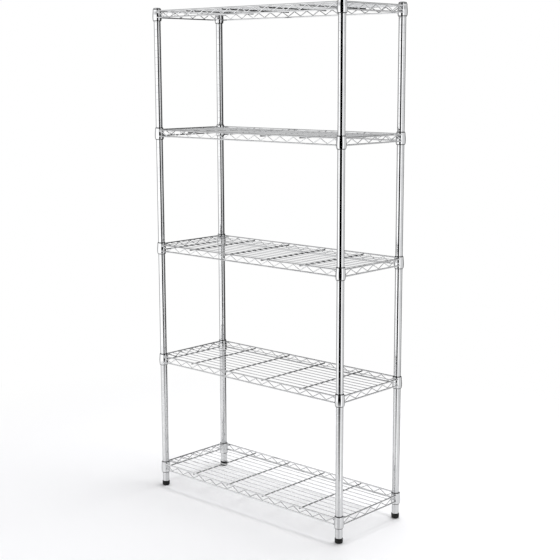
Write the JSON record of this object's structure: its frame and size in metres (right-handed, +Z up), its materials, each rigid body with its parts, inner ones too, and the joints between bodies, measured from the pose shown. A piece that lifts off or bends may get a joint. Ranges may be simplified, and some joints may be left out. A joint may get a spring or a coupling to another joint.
{
  "type": "wire shelving rack",
  "caption": "Free-standing rack of welded wire shelves wedged by split sleeves on round grooved posts with levelling feet.",
  "frame": {"origin": "on the floor, under the middle of the rack", "axes": "+X along the shelves, -Y is the front, +Z up along the posts"},
  "size_m": [0.9144, 0.3544, 1.8288],
  "materials": {
    "post_chrome": "bright chrome plate",
    "shelf_chrome": "bright chrome plate over welded wire",
    "zinc_steel": "zinc plated",
    "sleeve_plastic": "moulded, satin",
    "foot_plastic": "moulded, satin",
    "insert_plastic": "moulded, matt"
  },
  "bodies": {
    "posts": {"lower_post_front_left": "post_chrome", "lower_post_front_right": "post_chrome", "lower_post_back_left": "post_chrome", "lower_post_back_right": "post_chrome", "upper_post_front_left": "post_chrome", "upper_post_front_right": "post_chrome", "upper_post_back_left": "post_chrome", "upper_post_back_right": "post_chrome", "post_cap_front_left": "post_chrome", "post_cap_front_right": "post_chrome", "post_cap_back_left": "post_chrome", "post_cap_back_right": "post_chrome", "post_joiner_front_left": "zinc_steel", "post_joiner_front_right": "zinc_steel", "post_joiner_back_left": "zinc_steel", "post_joiner_back_right": "zinc_steel", "foot_insert_front_left": "insert_plastic", "foot_insert_front_right": "insert_plastic", "foot_insert_back_left": "insert_plastic", "foot_insert_back_right": "insert_plastic", "sleeve_1_front_left": "sleeve_plastic", "sleeve_1_front_right": "sleeve_plastic", "sleeve_1_back_left": "sleeve_plastic", "sleeve_1_back_right": "sleeve_plastic", "sleeve_2_front_left": "sleeve_plastic", "sleeve_2_front_right": "sleeve_plastic", "sleeve_2_back_left": "sleeve_plastic", "sleeve_2_back_right": "sleeve_plastic", "sleeve_3_front_left": "sleeve_plastic", "sleeve_3_front_right": "sleeve_plastic", "sleeve_3_back_left": "sleeve_plastic", "sleeve_3_back_right": "sleeve_plastic", "sleeve_4_front_left": "sleeve_plastic", "sleeve_4_front_right": "sleeve_plastic", "sleeve_4_back_left": "sleeve_plastic", "sleeve_4_back_right": "sleeve_plastic", "sleeve_5_front_left": "sleeve_plastic", "sleeve_5_front_right": "sleeve_plastic", "sleeve_5_back_left": "sleeve_plastic", "sleeve_5_back_right": "sleeve_plastic"},
    "shelf_1": {"shelf_1_frame": "shelf_chrome", "shelf_1_deck": "shelf_chrome"},
    "shelf_2": {"shelf_2_frame": "shelf_chrome", "shelf_2_deck": "shelf_chrome"},
    "shelf_3": {"shelf_3_frame": "shelf_chrome", "shelf_3_deck": "shelf_chrome"},
    "shelf_4": {"shelf_4_frame": "shelf_chrome", "shelf_4_deck": "shelf_chrome"},
    "shelf_5": {"shelf_5_frame": "shelf_chrome", "shelf_5_deck": "shelf_chrome"},
    "foot_front_left": {"levelling_foot_front_left": "foot_plastic", "foot_stud_front_left": "zinc_steel"},
    "foot_front_right": {"levelling_foot_front_right": "foot_plastic", "foot_stud_front_right": "zinc_steel"},
    "foot_back_left": {"levelling_foot_back_left": "foot_plastic", "foot_stud_back_left": "zinc_steel"},
    "foot_back_right": {"levelling_foot_back_right": "foot_plastic", "foot_stud_back_right": "zinc_steel"}
  },
  "joints": [
    {"name": "shelf_1_lift", "type": "slide", "parent": "posts", "child": "shelf_1", "axis": [0, 0, 1], "range_m": [0, 0.388]},
    {"name": "shelf_2_lift", "type": "slide", "parent": "posts", "child": "shelf_2", "axis": [0, 0, 1], "range_m": [0, 0.388]},
    {"name": "shelf_3_lift", "type": "slide", "parent": "posts", "child": "shelf_3", "axis": [0, 0, 1], "range_m": [0, 0.388]},
    {"name": "shelf_4_lift", "type": "slide", "parent": "posts", "child": "shelf_4", "axis": [0, 0, 1], "range_m": [0, 0.388]},
    {"name": "shelf_5_lift", "type": "slide", "parent": "posts", "child": "shelf_5", "axis": [0, 0, 1], "range_m": [0, 0.12]},
    {"name": "foot_front_left_travel", "type": "slide", "parent": "posts", "child": "foot_front_left", "axis": [0, 0, -1], "range_m": [0, 0.02]},
    {"name": "foot_front_right_travel", "type": "slide", "parent": "posts", "child": "foot_front_right", "axis": [0, 0, -1], "range_m": [0, 0.02]},
    {"name": "foot_back_left_travel", "type": "slide", "parent": "posts", "child": "foot_back_left", "axis": [0, 0, -1], "range_m": [0, 0.02]},
    {"name": "foot_back_right_travel", "type": "slide", "parent": "posts", "child": "foot_back_right", "axis": [0, 0, -1], "range_m": [0, 0.02]}
  ]
}
